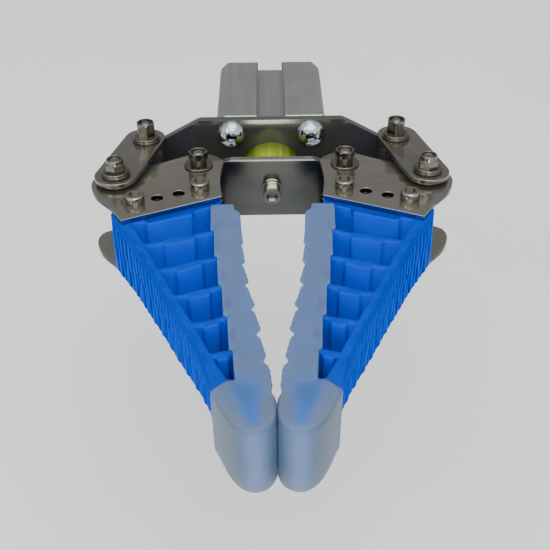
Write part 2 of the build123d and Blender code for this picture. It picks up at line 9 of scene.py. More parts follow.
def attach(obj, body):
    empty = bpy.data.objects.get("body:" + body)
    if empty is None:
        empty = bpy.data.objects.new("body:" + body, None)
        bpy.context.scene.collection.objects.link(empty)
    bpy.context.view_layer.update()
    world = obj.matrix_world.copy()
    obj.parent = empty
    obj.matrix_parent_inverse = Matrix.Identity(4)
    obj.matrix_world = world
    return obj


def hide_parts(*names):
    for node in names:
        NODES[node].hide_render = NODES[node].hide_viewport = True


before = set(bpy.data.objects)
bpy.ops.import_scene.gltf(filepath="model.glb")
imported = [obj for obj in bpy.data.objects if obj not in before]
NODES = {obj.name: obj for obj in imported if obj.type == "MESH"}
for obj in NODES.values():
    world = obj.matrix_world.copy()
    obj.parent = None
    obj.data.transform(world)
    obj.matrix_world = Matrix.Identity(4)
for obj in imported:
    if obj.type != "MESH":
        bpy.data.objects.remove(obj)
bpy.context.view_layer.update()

MM = 0.001


# ------------------------------------------------------------------ materials
def new_material(name):
    m = bpy.data.materials.new(name)
    m.use_nodes = True
    nt = m.node_tree
    nt.nodes.clear()
    out = nt.nodes.new("ShaderNodeOutputMaterial")
    bsdf = nt.nodes.new("ShaderNodeBsdfPrincipled")
    nt.links.new(bsdf.outputs[0], out.inputs[0])
    return m, nt, bsdf, out


def coords(nt, scale=(1, 1, 1)):
    tc = nt.nodes.new("ShaderNodeTexCoord")
    mp = nt.nodes.new("ShaderNodeMapping")
    mp.inputs["Scale"].default_value = scale
    nt.links.new(tc.outputs["Object"], mp.inputs[0])
    return mp.outputs[0]


def noise(nt, vec, scale, detail=4.0, rough=0.55):
    n = nt.nodes.new("ShaderNodeTexNoise")
    n.inputs["Scale"].default_value = scale
    n.inputs["Detail"].default_value = detail
    n.inputs["Roughness"].default_value = rough
    nt.links.new(vec, n.inputs["Vector"])
    return n.outputs["Fac"]


def ramp(nt, fac, stops):
    r = nt.nodes.new("ShaderNodeValToRGB")
    while len(r.color_ramp.elements) > 1:
        r.color_ramp.elements.remove(r.color_ramp.elements[-1])
    r.color_ramp.elements[0].position = stops[0][0]
    r.color_ramp.elements[0].color = (*stops[0][1], 1)
    for p, c in stops[1:]:
        e = r.color_ramp.elements.new(p)
        e.color = (*c, 1)
    nt.links.new(fac, r.inputs[0])
    return r.outputs[0]


def span(nt, fac, low, high, a=0.3, b=0.7):
    m = nt.nodes.new("ShaderNodeMapRange")
    m.inputs["From Min"].default_value = a
    m.inputs["From Max"].default_value = b
    m.inputs["To Min"].default_value = low
    m.inputs["To Max"].default_value = high
    nt.links.new(fac, m.inputs[0])
    return m.outputs[0]


def bump(nt, bsdf, height, strength, distance, prev=None):
    b = nt.nodes.new("ShaderNodeBump")
    b.inputs["Strength"].default_value = strength
    b.inputs["Distance"].default_value = distance
    nt.links.new(height, b.inputs["Height"])
    if prev is not None:
        nt.links.new(prev, b.inputs["Normal"])
    nt.links.new(b.outputs[0], bsdf.inputs["Normal"])
    return b.outputs[0]


def shade(c, k):
    return tuple(min(1.0, x * k) for x in c)


def by_slope(nt, flat, upright, low=0.15, high=0.6):
    """Painted light and shade by slope: the upright colour on upright faces, the flat colour on level ones, by the
    object's own normals.
    """
    geo = nt.nodes.new("ShaderNodeTexCoord")
    sep = nt.nodes.new("ShaderNodeSeparateXYZ")
    nt.links.new(geo.outputs["Normal"], sep.inputs[0])
    steep = nt.nodes.new("ShaderNodeMath")
    steep.operation = "ABSOLUTE"
    nt.links.new(sep.outputs["Z"], steep.inputs[0])
    both = nt.nodes.new("ShaderNodeMix")
    both.data_type = "RGBA"
    nt.links.new(span(nt, steep.outputs[0], 1.0, 0.0, low, high), both.inputs[0])
    nt.links.new(flat, both.inputs[6])
    nt.links.new(upright, both.inputs[7])
    return both.outputs[2]


def metal(name, base, rough=(0.16, 0.26), grain=(1, 1, 1), grain_scale=900, bump_s=0.06, vary=0.12, metallic=1.0, painted_flank=None, slope=(0.15, 0.6), dents=0.0, front=None, painted_reflection=False):
    """Bare metal: long faint grain, broad blotches, fine scratches. Its upright faces take the flank colour, if any, as
    painted light and shade, and where the mesh marks a front edge, that edge takes the front colour, a painted
    reflection of the blue core. If asked, it is painted lighter towards its middle and its lower edge, a painted
    reflection of the floor."""
    m, nt, bsdf, out = new_material(name)
    bsdf.inputs["Metallic"].default_value = metallic
    fine = noise(nt, coords(nt, grain), grain_scale, 5.0, 0.6)
    broad = noise(nt, coords(nt), 38, 3.0)
    mix = nt.nodes.new("ShaderNodeMix")
    mix.data_type = "RGBA"
    mix.blend_type = "MULTIPLY"
    mix.inputs[0].default_value = 1.0
    nt.links.new(ramp(nt, broad, [(0.25, shade(base, 1 - vary)), (0.75, shade(base, 1 + vary * 0.5))]), mix.inputs[6])
    nt.links.new(ramp(nt, fine, [(0.3, (0.93, 0.93, 0.93)), (0.7, (1, 1, 1))]), mix.inputs[7])
    color = mix.outputs[2]
    # painted light and shade: upright faces take a darker or lighter copy of the colour
    if painted_flank:
        color = by_slope(nt, color, ramp(nt, broad, [(0.25, shade(painted_flank, 0.9)), (0.75, shade(painted_flank, 1.1))]), *slope)
    # painted reflection of the floor: lighter towards the middle and the lower edge
    if painted_reflection:
        place = nt.nodes.new("ShaderNodeSeparateXYZ")
        nt.links.new(coords(nt), place.inputs[0])
        sideways = nt.nodes.new("ShaderNodeMath")
        sideways.operation = "ABSOLUTE"
        nt.links.new(place.outputs["X"], sideways.inputs[0])
        amount = nt.nodes.new("ShaderNodeMath")
        amount.operation = "MULTIPLY"
        nt.links.new(span(nt, sideways.outputs[0], 1.0, 0.62, 0.007, 0.021), amount.inputs[0])
        nt.links.new(span(nt, place.outputs["Z"], 1.95, 0.82, -0.016, 0.012), amount.inputs[1])
        scaled = nt.nodes.new("ShaderNodeVectorMath")
        scaled.operation = "SCALE"
        nt.links.new(color, scaled.inputs[0])
        nt.links.new(amount.outputs[0], scaled.inputs["Scale"])
        color = scaled.outputs[0]
    # painted reflection of the blue core on the marked front edge faces
    if front:
        facing = nt.nodes.new("ShaderNodeSeparateXYZ")
        nt.links.new(nt.nodes.new("ShaderNodeTexCoord").outputs["Normal"], facing.inputs[0])
        marked = nt.nodes.new("ShaderNodeAttribute")
        marked.attribute_name = "front_edge"
        only = nt.nodes.new("ShaderNodeMath")
        only.operation = "MULTIPLY"
        nt.links.new(span(nt, facing.outputs["Y"], 1.0, 0.0, -0.80, -0.66), only.inputs[0])
        nt.links.new(marked.outputs["Fac"], only.inputs[1])
        tinted = nt.nodes.new("ShaderNodeMix")
        tinted.data_type = "RGBA"
        nt.links.new(only.outputs[0], tinted.inputs[0])
        nt.links.new(color, tinted.inputs[6])
        nt.links.new(ramp(nt, broad, [(0.25, shade(front, 0.9)), (0.75, shade(front, 1.1))]), tinted.inputs[7])
        color = tinted.outputs[2]
    nt.links.new(color, bsdf.inputs["Base Color"])
    add = nt.nodes.new("ShaderNodeMath")
    add.operation = "ADD"
    nt.links.new(span(nt, fine, rough[0], rough[1]), add.inputs[0])
    nt.links.new(span(nt, broad, -0.03, 0.05), add.inputs[1])
    nt.links.new(add.outputs[0], bsdf.inputs["Roughness"])
    last = bump(nt, bsdf, fine, bump_s, 0.00005)
    if dents:
        bump(nt, bsdf, noise(nt, coords(nt), 270, 0.0), dents, 0.0010, last)
    return m


def plastic(name, base, rough=(0.32, 0.45), layers=0.0, coat=0.0, sss=None, vary=0.1, grain=1600, specular=0.5, painted_flank=None, slope=(0.25, 0.7), crease_shade=None):
    """Moulded or printed polymer: fine grain, faint layer lines, colour that varies a little. Its upright faces take
    the flank colour, if any, as painted light and shade, and its inner corners the crease colour, if any, as painted
    shade."""
    m, nt, bsdf, out = new_material(name)
    broad = noise(nt, coords(nt), 45, 3.0)
    fine = noise(nt, coords(nt), grain, 3.0)
    color = ramp(nt, broad, [(0.3, shade(base, 1 - vary)), (0.7, shade(base, 1 + vary))])
    # painted light and shade: upright faces take a lighter or darker copy of the colour
    if painted_flank:
        color = by_slope(nt, color, ramp(nt, broad, [(0.3, shade(painted_flank, 1 - vary)), (0.7, shade(painted_flank, 1 + vary))]), *slope)
    # painted shade in inner corners, by the mesh's pointiness
    if crease_shade:
        dark = nt.nodes.new("ShaderNodeMix")
        dark.data_type = "RGBA"
        nt.links.new(span(nt, nt.nodes.new("ShaderNodeNewGeometry").outputs["Pointiness"], 0.0, 0.8, 0.480, 0.425), dark.inputs[0])
        nt.links.new(color, dark.inputs[6])
        dark.inputs[7].default_value = (*crease_shade, 1)
        color = dark.outputs[2]
    nt.links.new(color, bsdf.inputs["Base Color"])
    nt.links.new(span(nt, fine, rough[0], rough[1]), bsdf.inputs["Roughness"])
    bsdf.inputs["Coat Weight"].default_value = coat
    bsdf.inputs["Specular IOR Level"].default_value = specular
    if sss:
        bsdf.inputs["Subsurface Weight"].default_value = sss[0]
        bsdf.inputs["Subsurface Radius"].default_value = sss[1]
        bsdf.inputs["Subsurface Scale"].default_value = sss[2]
    last = bump(nt, bsdf, fine, 0.12, 0.00004)
    if layers:
        w = nt.nodes.new("ShaderNodeTexWave")
        w.bands_direction = "Z"
        w.inputs["Scale"].default_value = 1 / 0.0006 / 6.283 * 3.1416
        w.inputs["Distortion"].default_value = 0.6
        w.inputs["Detail Scale"].default_value = 2.0
        nt.links.new(coords(nt), w.inputs["Vector"])
        bump(nt, bsdf, w.outputs["Fac"], layers, 0.00005, last)
    return m


def grooved(name, base, deep, high):
    """The outer wall's polymer: painted shade in its grooves, by the depth stored on the mesh, and painted highlights
    on its ridges.
    """
    m, nt, bsdf, out = new_material(name)
    broad = noise(nt, coords(nt), 45, 3.0)
    fine = noise(nt, coords(nt), 1300, 3.0)
    color = ramp(nt, broad, [(0.3, shade(base, 0.94)), (0.7, shade(base, 1.06))])
    # painted highlight on the ridges, then painted shade in the grooves
    for layer, tone in (("ridge", high), ("groove", deep)):
        a = nt.nodes.new("ShaderNodeAttribute")
        a.attribute_name = layer
        mix = nt.nodes.new("ShaderNodeMix")
        mix.data_type = "RGBA"
        nt.links.new(a.outputs["Fac"], mix.inputs[0])
        nt.links.new(color, mix.inputs[6])
        mix.inputs[7].default_value = (*tone, 1)
        color = mix.outputs[2]
    nt.links.new(color, bsdf.inputs["Base Color"])
    nt.links.new(span(nt, fine, 0.55, 0.65), bsdf.inputs["Roughness"])
    bsdf.inputs["Specular IOR Level"].default_value = 0.0
    bump(nt, bsdf, fine, 0.12, 0.00004)
    return m


def streaked(name, base, shade_tone):
    """Cast polyurethane: streaks along its axis, in its bump and as painted glints in its colour; painted light on its
    top, painted shade on its flanks and towards its rear end.
    """
    m, nt, bsdf, out = new_material(name)
    vec = coords(nt)
    sep = nt.nodes.new("ShaderNodeSeparateXYZ")
    nt.links.new(vec, sep.inputs[0])
    streaks = noise(nt, coords(nt, (1, 0.04, 1)), 420, 2.0)
    # painted light with painted glints along the streaks on the top faces; painted shade on the flanks and towards the
    # rear end
    lit = ramp(nt, streaks, [(0.36, shade(base, 0.66)), (0.5, base), (0.64, shade(base, 1.45))])
    side_shade = ramp(nt, streaks, [(0.3, shade(shade_tone, 0.85)), (0.7, shade(shade_tone, 1.15))])
    back = nt.nodes.new("ShaderNodeMix")
    back.data_type = "RGBA"
    nt.links.new(span(nt, sep.outputs["Y"], 0.0, 0.85, -0.0835, -0.0745), back.inputs[0])
    nt.links.new(by_slope(nt, lit, side_shade, 0.5, 0.95), back.inputs[6])
    nt.links.new(side_shade, back.inputs[7])
    nt.links.new(back.outputs[2], bsdf.inputs["Base Color"])
    nt.links.new(span(nt, streaks, 0.14, 0.22), bsdf.inputs["Roughness"])
    bsdf.inputs["Coat Weight"].default_value = 0.12
    bsdf.inputs["Specular IOR Level"].default_value = 0.35
    bump(nt, bsdf, streaks, 0.15, 0.0001)
    return m


def silicone(name, base, cap, tint, inner, outer):
    """Milky rubber: light goes into it, and the core's tongue shows through near the tip as a soft tint."""
    m, nt, bsdf, out = new_material(name)
    vec = coords(nt)
    sep = nt.nodes.new("ShaderNodeSeparateXYZ")
    nt.links.new(vec, sep.inputs[0])
    mirrored = nt.nodes.new("ShaderNodeMath")
    mirrored.operation = "ABSOLUTE"
    nt.links.new(sep.outputs["X"], mirrored.inputs[0])
    joined = nt.nodes.new("ShaderNodeCombineXYZ")
    nt.links.new(mirrored.outputs[0], joined.inputs["X"])
    nt.links.new(sep.outputs["Y"], joined.inputs["Y"])
    def edge(normal, offset, width):
        """0 outside a line in the XY plane, 1 inside it, soft over width; all in metres."""
        dot = nt.nodes.new("ShaderNodeVectorMath")
        dot.operation = "DOT_PRODUCT"
        dot.inputs[1].default_value = (normal[0], normal[1], 0)
        nt.links.new(joined.outputs[0], dot.inputs[0])
        r = nt.nodes.new("ShaderNodeMapRange")
        r.interpolation_type = "SMOOTHSTEP"
        r.inputs["From Min"].default_value = offset - width / 2
        r.inputs["From Max"].default_value = offset + width / 2
        nt.links.new(dot.outputs["Value"], r.inputs[0])
        return r.outputs[0]

    def times(a, b):
        t = nt.nodes.new("ShaderNodeMath")
        t.operation = "MULTIPLY"
        nt.links.new(a, t.inputs[0])
        if isinstance(b, float):
            t.inputs[1].default_value = b
        else:
            nt.links.new(b, t.inputs[1])
        return t.outputs[0]

    patch = times(times(edge((-0.945, 0.326), -0.945 * 0.0166 - 0.326 * 0.2519, 0.0036), edge((1, 0.03), 0.0056 - 0.03 * 0.2600, 0.0042)),
                  times(edge((0, 1), -0.2722, 0.0040), edge((0, -1), 0.2500, 0.0170)))
    front = times(times(edge((-1, 0), -0.0118, 0.0040), edge((1, 0), 0.0042, 0.0030)), times(edge((0, -1), 0.2710, 0.0030), 0.14))
    both = nt.nodes.new("ShaderNodeMath")
    both.operation = "MAXIMUM"
    nt.links.new(times(patch, 0.80), both.inputs[0])
    nt.links.new(front, both.inputs[1])
    soft = both.outputs[0]
    cloud = noise(nt, vec, 70, 3.0)
    fine = noise(nt, vec, 1500, 3.0)
    along = nt.nodes.new("ShaderNodeMix")
    along.data_type = "RGBA"
    nt.links.new(span(nt, sep.outputs["Y"], 1.0, 0.0, -0.268, -0.238), along.inputs[0])
    nt.links.new(ramp(nt, cloud, [(0.3, shade(base, 0.94)), (0.7, shade(base, 1.06))]), along.inputs[6])
    # the cap's upright front is greyer on the finger's outer side
    side = nt.nodes.new("ShaderNodeMix")
    side.data_type = "RGBA"
    nt.links.new(span(nt, mirrored.outputs[0], 0.0, 1.0, 0.0085, 0.0175), side.inputs[0])
    nt.links.new(ramp(nt, cloud, [(0.3, shade(inner, 0.94)), (0.7, shade(inner, 1.06))]), side.inputs[6])
    nt.links.new(ramp(nt, cloud, [(0.3, shade(outer, 0.94)), (0.7, shade(outer, 1.06))]), side.inputs[7])
    # and paler towards its lower end, with thin and thick places in the rubber
    lower = nt.nodes.new("ShaderNodeMix")
    lower.data_type = "RGBA"
    patchy = nt.nodes.new("ShaderNodeMath")
    patchy.operation = "ADD"
    nt.links.new(span(nt, sep.outputs["Z"], 0.8, 0.0, -0.0125, -0.0035), patchy.inputs[0])
    nt.links.new(span(nt, noise(nt, vec, 170, 3.0), -0.16, 0.20), patchy.inputs[1])
    patchy.use_clamp = True
    nt.links.new(patchy.outputs[0], lower.inputs[0])
    nt.links.new(side.outputs[2], lower.inputs[6])
    lower.inputs[7].default_value = (0.086, 0.116, 0.158, 1)
    # painted shade: level faces take the cap colour, the upright and rounded faces the darker front colours
    level = ramp(nt, cloud, [(0.3, shade(cap, 0.94)), (0.7, shade(cap, 1.06))])
    nt.links.new(by_slope(nt, level, lower.outputs[2], 0.6, 0.98), along.inputs[7])
    body = along.outputs[2]
    # faint painted shade where the ribs are bonded to the skin's outer edge
    for (px, py), weight in (((24.0, -149.6), 0.5), ((22.9, -163.8), 0.4), ((20.3, -186.6), 0.6), ((17.8, -205.2), 0.65), ((15.2, -224.5), 0.7)):
        moved = nt.nodes.new("ShaderNodeVectorMath")
        moved.operation = "SUBTRACT"
        nt.links.new(joined.outputs[0], moved.inputs[0])
        moved.inputs[1].default_value = (px * MM, py * MM, 0)
        wide = nt.nodes.new("ShaderNodeVectorMath")
        wide.operation = "MULTIPLY"
        nt.links.new(moved.outputs[0], wide.inputs[0])
        wide.inputs[1].default_value = (1 / 1.7 / MM, 1 / 4.2 / MM, 0)
        far = nt.nodes.new("ShaderNodeVectorMath")
        far.operation = "LENGTH"
        nt.links.new(wide.outputs[0], far.inputs[0])
        uneven = nt.nodes.new("ShaderNodeMath")
        uneven.operation = "ADD"
        nt.links.new(far.outputs["Value"], uneven.inputs[0])
        nt.links.new(span(nt, noise(nt, vec, 600, 2.0), -0.35, 0.35), uneven.inputs[1])
        rib_shade = nt.nodes.new("ShaderNodeMix")
        rib_shade.data_type = "RGBA"
        rib_shade.blend_type = "MULTIPLY"
        nt.links.new(span(nt, uneven.outputs[0], weight, 0.0, 0.45, 1.1), rib_shade.inputs[0])
        nt.links.new(body, rib_shade.inputs[6])
        rib_shade.inputs[7].default_value = (0.80, 0.62, 0.90, 1)
        body = rib_shade.outputs[2]
    mix = nt.nodes.new("ShaderNodeMix")
    mix.data_type = "RGBA"
    nt.links.new(soft, mix.inputs[0])
    nt.links.new(body, mix.inputs[6])
    mix.inputs[7].default_value = (*tint, 1)
    nt.links.new(mix.outputs[2], bsdf.inputs["Base Color"])
    nt.links.new(span(nt, cloud, 0.42, 0.52), bsdf.inputs["Roughness"])
    bsdf.inputs["Specular IOR Level"].default_value = 0.35
    bsdf.inputs["Subsurface Weight"].default_value = 0.7
    bsdf.inputs["Subsurface Radius"].default_value = (0.8, 1.0, 1.3)
    bsdf.inputs["Subsurface Scale"].default_value = 0.005
    last = bump(nt, bsdf, fine, 0.10, 0.00004)
    bump(nt, bsdf, noise(nt, vec, 260, 3.0), 0.18, 0.0003, last)
    return m


MATS = {
    # dark upright faces and hole walls, a painted shade, and a navy front edge, a painted reflection of the blue core
    "plate": metal("polished_plate", (0.255, 0.240, 0.202), (0.10, 0.16), (1, 0.05, 1), 700, 0.03, 0.12, 0.88, (0.035, 0.037, 0.045),
                   (0.15, 0.6), 0.0, (0.045, 0.125, 0.36)),
    "link": metal("polished_link", (0.198, 0.187, 0.158), (0.12, 0.18), (1, 0.05, 1), 700, 0.03, 0.12, 0.88),
    "bracket": metal("dark_polished_bracket", (0.135, 0.135, 0.122), (0.12, 0.18), (0.06, 1, 1), 700, 0.03, 0.12, 0.8),
    # dark upright faces, a painted shade, and painted lighter towards the middle and the lower edge, a painted
    # reflection of the floor
    "crosshead": metal("crosshead_steel", (0.31, 0.30, 0.27), (0.12, 0.18), (0.06, 1, 1), 700, 0.03, 0.12, 0.7, (0.032, 0.0345, 0.0345),
                       (0.15, 0.6), 0.0, None, True),
    "body": metal("anodised_body", (0.40, 0.40, 0.38), (0.36, 0.46), (1, 0.03, 1), 900, 0.10, 0.06),
    "turned": metal("turned_aluminium", (0.6, 0.6, 0.59), (0.25, 0.35)),
    "chrome": metal("bright_chrome", (0.46, 0.51, 0.53), (0.03, 0.07), (1, 1, 1), 600, 0.03, 0.03),
    "dome": metal("dented_chrome", (0.34, 0.385, 0.40), (0.03, 0.07), (1, 1, 1), 600, 0.03, 0.03, 1.0, None, (0.15, 0.6), 0.6),
    # a pale strip along the cylinder's front top edge, a painted highlight
    "raw_edge": plastic("bare_machined_edge", (0.92, 0.92, 0.87), (0.4, 0.5)),
    # dark strips in the corners of the cylinder's groove, a painted shade
    "seam": plastic("dark_seam", (0.045, 0.045, 0.042), (0.5, 0.6)),
    # upright faces a little darker than level ones on screws, nuts and washers, a painted shade
    "zinc": metal("zinc_hardware", (0.27, 0.255, 0.21), (0.10, 0.17), (1, 1, 0.2), 900, 0.06, 0.12, 1.0, (0.24, 0.23, 0.185)),
    "nut": metal("plated_nut", (0.19, 0.18, 0.152), (0.10, 0.18), (1, 1, 0.2), 900, 0.06, 0.12, 1.0, (0.18, 0.17, 0.142)),
    "washer": metal("plated_washer", (0.155, 0.147, 0.123), (0.12, 0.20), (1, 1, 0.2), 900, 0.05, 0.12, 1.0, (0.105, 0.10, 0.08)),
    # cream level faces, a painted glint on the crosshead screw and washer, and dark upright faces, a painted shade
    "screw": metal("crosshead_screw_steel", (0.95, 0.88, 0.60), (0.10, 0.16), (1, 0.2, 1), 900, 0.05, 0.06, 0.1, (0.055, 0.053, 0.050), (0.80, 0.93)),
    "sleeve": metal("dark_sleeve", (0.10, 0.10, 0.10), (0.3, 0.4)),
    "bronze": metal("bronze_bush", (0.62, 0.42, 0.2), (0.3, 0.4)),
    # lighter upright faces, a painted light, and darker inner corners, a painted shade
    "blue": plastic("blue_printed_plastic", (0.0004, 0.048, 0.41), (0.42, 0.55), 0.0, 0.0, None, 0.06, 1300, 0.03, (0.0010, 0.070, 0.62), (0.25, 0.7), (0.0003, 0.018, 0.20)),
    # painted shade in the wall's grooves and painted highlights on its ridges
    "wall": grooved("blue_grooved_wall", (0.0005, 0.041, 0.385), (0.0001, 0.001, 0.025), (0.0018, 0.086, 0.64)),
    # painted shade on the cap's upright and rounded faces, and faint painted shade by the ribs
    "silicone": silicone("translucent_silicone", (0.088, 0.145, 0.285), (0.108, 0.150, 0.236), (0.026, 0.128, 0.50),
                         (0.052, 0.089, 0.172), (0.069, 0.098, 0.137)),
    "rubber": plastic("black_rubber", (0.02, 0.02, 0.02), (0.5, 0.65)),
    # painted light and glints on the bumper's top, painted shade on its flanks and rear end
    "yellow": streaked("yellow_polyurethane", (0.225, 0.310, 0.010), (0.070, 0.105, 0.002)),
}

NODE_MATS = {}
for n in NODES:
    base = n.replace("_right", "").replace("_left", "")
    NODE_MATS[n] = {
        "cylinder_body": "body", "rear_cap": "turned", "front_head": "turned", "cap_circlips": "nut",
        "rod_bush": "bronze", "rod_wiper": "rubber", "rear_bracket": "bracket", "bracket_bolts": "dome",
        "rod_bumper": "yellow", "crosshead": "crosshead", "crosshead_washer": "screw", "crosshead_screw": "screw",
        "piston_rod": "chrome", "piston": "turned", "piston_seal": "rubber",
        "finger_plate_top": "plate", "finger_plate_bottom": "plate", "finger_core": "blue", "finger_skin": "silicone",
        "finger_screws": "zinc", "finger_screw_nuts": "nut", "inner_pivot_sleeve": "turned",
        "inner_pivot_bolt": "zinc", "inner_pivot_nut": "nut", "inner_pivot_washers": "washer",
        "clamp_sleeves": "sleeve", "outer_pivot_spacer": "turned", "outer_pivot_bolt": "zinc", "outer_pivot_nut": "nut",
        "outer_pivot_washers": "washer", "link_top": "plate", "link_bottom": "plate",
        "rear_pivot_sleeve": "turned", "rear_pivot_bolt": "zinc", "rear_pivot_nut": "nut",
        "rear_pivot_washers": "washer",
    }[base]

BEVEL = {"finger_plate_top": 0.35, "finger_plate_bottom": 0.35, "link_top": 0.35, "link_bottom": 0.35,
         "rear_bracket": 0.45, "crosshead": 0.35, "cylinder_body": 0.3, "finger_core": 0.35, "finger_skin": 0.5}

for n, o in NODES.items():
    o.data.materials.clear()
    o.data.materials.append(MATS[NODE_MATS[n]])
    base = n.replace("_right", "").replace("_left", "")
    weld = o.modifiers.new("weld", "WELD")
    weld.merge_threshold = 0.000002
    bev = o.modifiers.new("edge_round", "BEVEL")
    bev.width = BEVEL.get(base, 0.15) * MM
    bev.segments = 2
    bev.limit_method = "ANGLE"
    bev.angle_limit = math.radians(32)
    bev.harden_normals = True


# ------------------------------------------------------- pieces with more form
def link_object(name, me, body, node, mat):
    o = bpy.data.objects.new(name, me)
    bpy.context.scene.collection.objects.link(o)
    me.materials.clear()
    me.materials.append(MATS[mat])
    if node:
        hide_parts(node)
    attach(o, body)
    return o


def arc3(a, b, c, n=40):
    """Points on the circle arc from a through b to c, without the last one."""
    ax, ay, bx, by, cx, cy = *a, *b, *c
    d = 2 * (ax * (by - cy) + bx * (cy - ay) + cx * (ay - by))
    ux = ((ax * ax + ay * ay) * (by - cy) + (bx * bx + by * by) * (cy - ay) + (cx * cx + cy * cy) * (ay - by)) / d
    uy = ((ax * ax + ay * ay) * (cx - bx) + (bx * bx + by * by) * (ax - cx) + (cx * cx + cy * cy) * (bx - ax)) / d
    r = math.hypot(ax - ux, ay - uy)
    t0, t1, t2 = (math.atan2(y - uy, x - ux) for x, y in (a, b, c))
    turn = 2 * math.pi
    if ((t1 - t0) % turn) < ((t2 - t0) % turn):
        sweep = (t2 - t0) % turn
    else:
        sweep = -((t0 - t2) % turn)
    return [(ux + r * math.cos(t0 + sweep * k / n), uy + r * math.sin(t0 + sweep * k / n)) for k in range(n)]


def circle(c, r, n=48):
    return [(c[0] + r * math.cos(2 * math.pi * k / n), c[1] + r * math.sin(2 * math.pi * k / n)) for k in range(n)]


def sheet_metal(name, loops, z0, z1, edge, side):
    """A flat plate with rounded edges, cut from its outline and holes. side is 1 for right, -1 for left."""
    cu = bpy.data.curves.new(name, "CURVE")
    cu.dimensions = "2D"
    cu.fill_mode = "BOTH"
    for loop in loops:
        sp = cu.splines.new("POLY")
        sp.points.add(len(loop) - 1)
        for q, (x, y) in zip(sp.points, loop):
            q.co = (side * x * MM, y * MM, 0, 1)
        sp.use_cyclic_u = True
    cu.extrude = ((z1 - z0) / 2 - edge) * MM
    cu.bevel_depth = edge * MM
    cu.bevel_resolution = 3
    cu.offset = -edge * MM
    tmp = bpy.data.objects.new("tmp", cu)
    bpy.context.scene.collection.objects.link(tmp)
    dg = bpy.context.evaluated_depsgraph_get()
    me = bpy.data.meshes.new_from_object(tmp.evaluated_get(dg))
    bpy.data.objects.remove(tmp)
    bpy.data.curves.remove(cu)
    me.transform(Matrix.Translation((0, 0, (z0 + z1) / 2 * MM)))
    bm = bmesh.new()
    bm.from_mesh(me)
    bmesh.ops.remove_doubles(bm, verts=bm.verts, dist=0.000002)
    bmesh.ops.recalc_face_normals(bm, faces=bm.faces)
    bm.to_mesh(me)
    bm.free()
    me.name = name
    me.shade_smooth()
    me.set_sharp_from_angle(angle=math.radians(28))
    return me


def spline_through(pts, step):
    """Points every step mm along the smooth curve through pts, with their outward normals and arc lengths."""
    q = np.array(pts, dtype=float)
    t = np.concatenate([[0], np.cumsum(np.hypot(*np.diff(q, axis=0).T))])
    n = len(q)
    h = np.diff(t)
    a = np.zeros((n, n))
    r = np.zeros((n, 2))
    a[0, 0] = a[-1, -1] = 1
    for k in range(1, n - 1):
        a[k, k - 1:k + 2] = h[k - 1], 2 * (h[k - 1] + h[k]), h[k]
        r[k] = 6 * ((q[k + 1] - q[k]) / h[k] - (q[k] - q[k - 1]) / h[k - 1])
    m2 = np.linalg.solve(a, r)
    u = np.linspace(0, t[-1], int(t[-1] / step) + 1)
    k = np.clip(np.searchsorted(t, u) - 1, 0, n - 2)
    d = (u - t[k])[:, None]
    hk = h[k][:, None]
    slope = (q[k + 1] - q[k]) / hk - hk * (2 * m2[k] + m2[k + 1]) / 6
    xy = q[k] + slope * d + m2[k] / 2 * d ** 2 + (m2[k + 1] - m2[k]) / (6 * hk) * d ** 3
    tan = np.gradient(xy, axis=0)
    tan /= np.hypot(*tan.T)[:, None]
    return xy, np.stack([-tan[:, 1], tan[:, 0]], axis=1), u


P1, P2, P3 = (33.7, -98.0), (69.9, -112.7), (59.2, -78.5)
LINK_ENDS, LINK_R = ((70.05, -112.5), (60.3, -75.6)), 9.6
SCREW_ROW = [(32.1, -119.85), (41.35, -123.67), (50.6, -127.48), (59.85, -131.3)]
PLATE_LOBE = [(70.5, -134.3), (74.5, -129.4), (77.7, -124.9), (80.0, -119.6), (81.2, -113.2), (79.4, -107.4), (74.9, -104.5)]
PLATE_LOOP = [(21.98, -126.6), (22.25, -127.0), (22.75, -127.3), (23.4, -127.25), (64.1, -146.2)] \
    + [tuple(q) for q in spline_through(PLATE_LOBE, 0.7)[0][:-1]] \
    + arc3((74.9, -104.5), (56.0, -97.0), (40.6, -88.2)) + arc3((40.6, -88.2), (33.2, -86.0), (25.8, -88.9)) \
    + arc3((25.8, -88.9), (23.4, -92.0), (22.3, -94.8), 12) + arc3((22.3, -94.8), (23.4, -111.5), (22.0, -126.3))


def link_loop(n=40):
    (ax, ay), (bx, by) = LINK_ENDS
    a = math.atan2(ay - by, ax - bx)
    pts = [(ax + LINK_R * math.cos(a - math.pi / 2 + math.pi * k / n), ay + LINK_R * math.sin(a - math.pi / 2 + math.pi * k / n))
           for k in range(n + 1)]
    return pts + [(bx + LINK_R * math.cos(a + math.pi / 2 + math.pi * k / n),
                   by + LINK_R * math.sin(a + math.pi / 2 + math.pi * k / n)) for k in range(n + 1)]


for side, word in ((1, "right"), (-1, "left")):
    holes = [circle(P1, 2.6), circle(P2, 2.6)] + [circle(q, 2.65) for q in SCREW_ROW]
    for top, z0, z1 in (("top", 13.7, 16.2), ("bottom", -16.2, -13.7)):
        me = sheet_metal(f"polished_finger_plate_{top}_{word}", [PLATE_LOOP] + holes, z0, z1, 0.32, side)
        co = np.empty(len(me.vertices) * 3)
        me.vertices.foreach_get("co", co)
        co = co.reshape(-1, 3) / MM
        # marks the plates' front edge faces for the painted reflection of the blue core
        ahead = -0.422 * side * co[:, 0] - 0.906 * co[:, 1]
        me.attributes.new("front_edge", "FLOAT", "POINT").data.foreach_set("value", (ahead > 104.4).astype(float))
        link_object(me.name, me, f"finger_{word}", f"finger_plate_{top}_{word}", "plate")
    for top, z0, z1 in (("top", 17.5, 20.0), ("bottom", -20.0, -17.5)):
        me = sheet_metal(f"polished_link_{top}_{word}", [link_loop(), circle(P2, 3.2), circle(P3, 2.6)], z0, z1, 0.42, side)
        link_object(me.name, me, f"link_{word}", f"link_{top}_{word}", "link")


